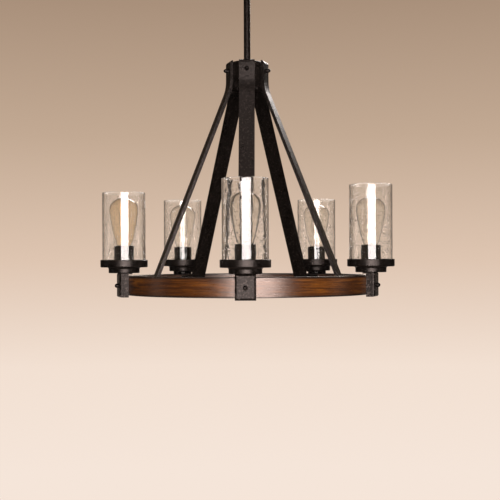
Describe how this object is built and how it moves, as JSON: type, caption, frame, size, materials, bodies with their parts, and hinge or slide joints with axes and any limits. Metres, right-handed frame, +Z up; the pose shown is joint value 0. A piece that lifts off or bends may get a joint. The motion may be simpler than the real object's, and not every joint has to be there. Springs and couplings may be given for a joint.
{
  "type": "ring chandelier",
  "caption": "Round wood and black metal chandelier on a stem, with candle-like lamps in clear seeded glass cylinders on brackets around its ring.",
  "frame": {"origin": "on the stem's axis, at the ceiling face of the mounting bar", "axes": "+Z up along the stem, -Y towards lamp 1, which faces the camera, +X to the right in the picture"},
  "size_m": [0.5866, 0.5625, 0.8497],
  "materials": {
    "black_metal": "textured matt black with brown rubbed edges",
    "plated_steel": "zinc plated",
    "wire_cover": "smooth",
    "ring_wood": "stained and lacquered, darker along the edges",
    "socket_body": "moulded",
    "seeded_glass": "clear with small bubbles",
    "bulb_glass": "clear, faintly amber",
    "brass": "bright"
  },
  "bodies": {
    "ceiling": {"mounting_bar": "plated_steel", "ceiling_nipple": "plated_steel", "nipple_lock_nut": "plated_steel", "canopy": "black_metal", "swivel_collar": "black_metal"},
    "swivel": {"swivel_fork": "black_metal", "swivel_pin": "plated_steel"},
    "frame": {"swivel_tongue": "black_metal", "stem": "black_metal", "supply_cord": "wire_cover", "hub_cap": "black_metal", "hub_lock_nut": "plated_steel", "hub_body": "black_metal", "hub_cover": "black_metal", "cover_screws": "black_metal", "hub_bolts": "black_metal", "hub_nuts": "plated_steel", "wood_ring": "ring_wood", "bracket_bolts": "black_metal", "bracket_nuts": "plated_steel", "arm_leads": "wire_cover", "lamp_nipples": "plated_steel", "nipple_nuts": "plated_steel", "lamp_sockets": "socket_body", "arm_1": "black_metal", "arm_2": "black_metal", "arm_3": "black_metal", "arm_4": "black_metal", "arm_5": "black_metal", "bracket_1": "black_metal", "bracket_2": "black_metal", "bracket_3": "black_metal", "bracket_4": "black_metal", "bracket_5": "black_metal", "pan_1": "black_metal", "pan_2": "black_metal", "pan_3": "black_metal", "pan_4": "black_metal", "pan_5": "black_metal", "socket_sleeve_1": "black_metal", "socket_sleeve_2": "black_metal", "socket_sleeve_3": "black_metal", "socket_sleeve_4": "black_metal", "socket_sleeve_5": "black_metal"},
    "glass_1": {"glass_cylinder_1": "seeded_glass"},
    "glass_2": {"glass_cylinder_2": "seeded_glass"},
    "glass_3": {"glass_cylinder_3": "seeded_glass"},
    "glass_4": {"glass_cylinder_4": "seeded_glass"},
    "glass_5": {"glass_cylinder_5": "seeded_glass"},
    "bulb_1": {"bulb_glass_1": "bulb_glass", "bulb_base_1": "brass"},
    "bulb_2": {"bulb_glass_2": "bulb_glass", "bulb_base_2": "brass"},
    "bulb_3": {"bulb_glass_3": "bulb_glass", "bulb_base_3": "brass"},
    "bulb_4": {"bulb_glass_4": "bulb_glass", "bulb_base_4": "brass"},
    "bulb_5": {"bulb_glass_5": "bulb_glass", "bulb_base_5": "brass"}
  },
  "joints": [
    {"name": "swivel_turn", "type": "hinge", "parent": "ceiling", "child": "swivel", "pos_m": [0, 0, -0.0429], "axis": [0, 0, 1], "range_deg": [-175, 175]},
    {"name": "stem_tilt", "type": "hinge", "parent": "swivel", "child": "frame", "pos_m": [0, 0, -0.0582], "axis": [0, 1, 0], "range_deg": [-45, 45]},
    {"name": "glass_1_lift", "type": "slide", "parent": "frame", "child": "glass_1", "axis": [0, 0, 1], "range_m": [0, 0.14]},
    {"name": "glass_2_lift", "type": "slide", "parent": "frame", "child": "glass_2", "axis": [0, 0, 1], "range_m": [0, 0.14]},
    {"name": "glass_3_lift", "type": "slide", "parent": "frame", "child": "glass_3", "axis": [0, 0, 1], "range_m": [0, 0.14]},
    {"name": "glass_4_lift", "type": "slide", "parent": "frame", "child": "glass_4", "axis": [0, 0, 1], "range_m": [0, 0.14]},
    {"name": "glass_5_lift", "type": "slide", "parent": "frame", "child": "glass_5", "axis": [0, 0, 1], "range_m": [0, 0.14]},
    {"name": "bulb_1_unscrew", "type": "slide", "parent": "frame", "child": "bulb_1", "axis": [0, 0, 1], "range_m": [0, 0.03]},
    {"name": "bulb_2_unscrew", "type": "slide", "parent": "frame", "child": "bulb_2", "axis": [0, 0, 1], "range_m": [0, 0.03]},
    {"name": "bulb_3_unscrew", "type": "slide", "parent": "frame", "child": "bulb_3", "axis": [0, 0, 1], "range_m": [0, 0.03]},
    {"name": "bulb_4_unscrew", "type": "slide", "parent": "frame", "child": "bulb_4", "axis": [0, 0, 1], "range_m": [0, 0.03]},
    {"name": "bulb_5_unscrew", "type": "slide", "parent": "frame", "child": "bulb_5", "axis": [0, 0, 1], "range_m": [0, 0.03]}
  ]
}
